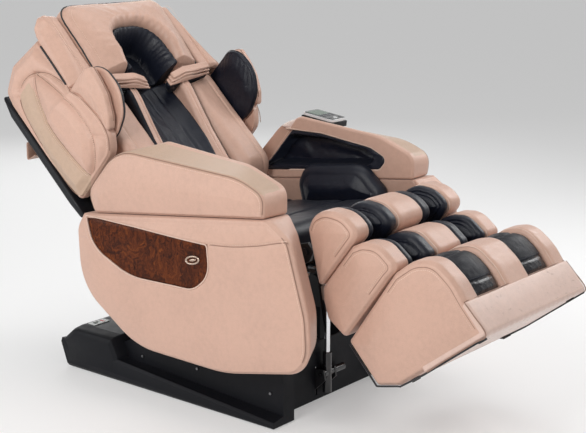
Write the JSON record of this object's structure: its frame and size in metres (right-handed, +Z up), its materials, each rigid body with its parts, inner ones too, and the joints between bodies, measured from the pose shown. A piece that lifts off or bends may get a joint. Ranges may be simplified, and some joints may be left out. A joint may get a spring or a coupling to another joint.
{
  "type": "reclining massage chair",
  "caption": "Half-reclined massage chair: tan padded shell, sliding arms with wood inlays, black air cushions, hinged back with roller carriage, sectioned leg rest and floor base.",
  "frame": {"origin": "on the floor, at the centre of the base", "axes": "+X to the sitter's left, -Y to the feet, +Z up"},
  "size_m": [0.9186, 1.9052, 1.2415],
  "materials": {
    "frame_steel": "satin black powder coat",
    "base_shell": "satin black",
    "rubber": "matt",
    "screws": "dark zinc",
    "electrics": "grey",
    "pump": "grey",
    "board": "green laminate",
    "inlet": "pale satin",
    "rocker": "dark red",
    "rod": "bright",
    "actuator": "gloss black",
    "tan_leather": "soft tan pink leather",
    "tan_lining": "tan leather, plain",
    "black_leather": "soft blue-black leather",
    "wood": "dark burl, lacquered",
    "badge": "warm bright",
    "bare_steel": "brushed",
    "runner": "plain",
    "remote_body": "black with a silver edge",
    "key": "silver",
    "roller": "matt",
    "motor": "black"
  },
  "bodies": {
    "base": {"base_chassis": "frame_steel", "base_cover": "base_shell", "front_plate": "base_shell", "floor_strips": "rubber", "base_screws": "screws", "power_supply": "electrics", "air_pump": "pump", "control_board": "board", "inlet_plate": "inlet"},
    "switch": {"power_switch": "rocker"},
    "wheel_l": {"wheel_left": "rubber"},
    "wheel_r": {"wheel_right": "rubber"},
    "tilt_tube": {"tilt_cylinder": "actuator"},
    "tilt_piston": {"tilt_rod": "rod"},
    "seat": {"seat_frame": "frame_steel", "seat_cushion": "black_leather", "hip_pads": "black_leather", "side_shell_left": "tan_leather", "side_shell_right": "tan_leather", "side_linings": "tan_lining", "wood_inlays": "wood", "badge_rings": "badge", "arm_rails": "bare_steel", "recline_cylinder": "actuator", "leg_cylinder": "actuator"},
    "recline_piston": {"recline_rod": "rod"},
    "leg_piston": {"leg_rod": "rod"},
    "arm_l": {"arm_pad_left": "tan_leather", "arm_lining_left": "black_leather", "arm_runner_left": "runner", "remote_dock": "base_shell"},
    "arm_r": {"arm_pad_right": "tan_leather", "arm_lining_right": "black_leather", "arm_runner_right": "runner"},
    "handset": {"remote": "remote_body"},
    "handset_key": {"remote_key": "key"},
    "back": {"back_frame": "frame_steel", "rear_cover": "base_shell", "side_wings": "tan_leather", "head_shell": "tan_leather", "shoulder_shells": "tan_leather", "shoulder_lobes": "black_leather", "centre_pad": "black_leather", "bolsters": "tan_leather", "head_pillow": "tan_leather", "head_lining": "black_leather", "shoulder_flaps": "tan_leather", "rear_flap": "tan_lining"},
    "carriage": {"massage_carriage": "frame_steel", "massage_motor": "motor"},
    "rollers_up": {"upper_rollers": "roller"},
    "rollers_down": {"lower_rollers": "roller"},
    "leg_rest": {"leg_frame": "frame_steel", "calf_block_upper": "tan_leather", "calf_block_lower": "tan_leather", "calf_pads": "black_leather"},
    "foot_rest": {"foot_block": "tan_leather", "foot_hoods": "black_leather", "foot_slides": "bare_steel", "foot_feet": "rubber"}
  },
  "joints": [
    {"name": "seat_tilt", "type": "hinge", "parent": "base", "child": "seat", "pos_m": [0, -0.184, 0.3], "axis": [-1, 0, 0], "range_deg": [-6.6, 8]},
    {"name": "tilt_tube_swing", "type": "hinge", "parent": "base", "child": "tilt_tube", "pos_m": [-0.05, -0.46214, 0.1], "axis": [-1, 0, 0], "range_deg": [-3.3, 4]},
    {"name": "tilt_stroke", "type": "slide", "parent": "tilt_tube", "child": "tilt_piston", "axis": [0, 0, 1], "range_m": [-0.034, 0.041]},
    {"name": "recline", "type": "hinge", "parent": "seat", "child": "back", "pos_m": [0, 0.16632, 0.50006], "axis": [-1, 0, 0], "range_deg": [-20, 20]},
    {"name": "recline_stroke", "type": "slide", "parent": "seat", "child": "recline_piston", "axis": [0, 0.9934, -0.1149], "range_m": [-0.042, 0.042]},
    {"name": "arm_left_slide", "type": "slide", "parent": "seat", "child": "arm_l", "axis": [0, 0.9934, -0.1149], "range_m": [-0.085, 0.085]},
    {"name": "arm_right_slide", "type": "slide", "parent": "seat", "child": "arm_r", "axis": [0, 0.9934, -0.1149], "range_m": [-0.085, 0.085]},
    {"name": "leg_raise", "type": "hinge", "parent": "seat", "child": "leg_rest", "pos_m": [0, -0.53444, 0.56], "axis": [-1, 0, 0], "range_deg": [-30, 36.5]},
    {"name": "leg_stroke", "type": "slide", "parent": "seat", "child": "leg_piston", "axis": [0, -0.9934, 0.1149], "range_m": [-0.05, 0.06]},
    {"name": "foot_extend", "type": "slide", "parent": "leg_rest", "child": "foot_rest", "axis": [0, -0.8039, -0.5948], "range_m": [0, 0.1]},
    {"name": "carriage_travel", "type": "slide", "parent": "back", "child": "carriage", "axis": [0, 0.7314, 0.682], "range_m": [-0.1, 0.14]},
    {"name": "upper_roller_spin", "type": "hinge", "parent": "carriage", "child": "rollers_up", "pos_m": [0, 0.37845, 0.77991], "axis": [-1, 0, 0], "continuous": true},
    {"name": "lower_roller_spin", "type": "hinge", "parent": "carriage", "child": "rollers_down", "pos_m": [0, 0.31116, 0.71717], "axis": [-1, 0, 0], "continuous": true},
    {"name": "wheel_left_spin", "type": "hinge", "parent": "base", "child": "wheel_l", "pos_m": [0.28, 0.446, 0.036], "axis": [-1, 0, 0], "continuous": true},
    {"name": "wheel_right_spin", "type": "hinge", "parent": "base", "child": "wheel_r", "pos_m": [-0.28, 0.446, 0.036], "axis": [-1, 0, 0], "continuous": true},
    {"name": "power_rocker", "type": "hinge", "parent": "base", "child": "switch", "pos_m": [-0.246, 0.392, 0.15], "axis": [0, 1, 0], "range_deg": [-8, 8]},
    {"name": "remote_lift", "type": "slide", "parent": "arm_l", "child": "handset", "axis": [0, -0.1288, 0.9917], "range_m": [0, 0.3]},
    {"name": "remote_key_press", "type": "slide", "parent": "handset", "child": "handset_key", "axis": [0, 0.1288, -0.9917], "range_m": [0, 0.001], "stiffness_N_per_m": 300}
  ],
  "couplings": [
    {"joint": "tilt_tube_swing", "follows": "seat_tilt", "ratio": 0.472},
    {"joint": "tilt_stroke", "follows": "seat_tilt", "m_per_rad": 0.2773},
    {"joint": "recline_stroke", "follows": "recline", "m_per_rad": -0.1147},
    {"joint": "arm_left_slide", "follows": "recline", "m_per_rad": 0.2292},
    {"joint": "arm_right_slide", "follows": "recline", "m_per_rad": 0.2292},
    {"joint": "leg_stroke", "follows": "leg_raise", "m_per_rad": 0.09036}
  ]
}
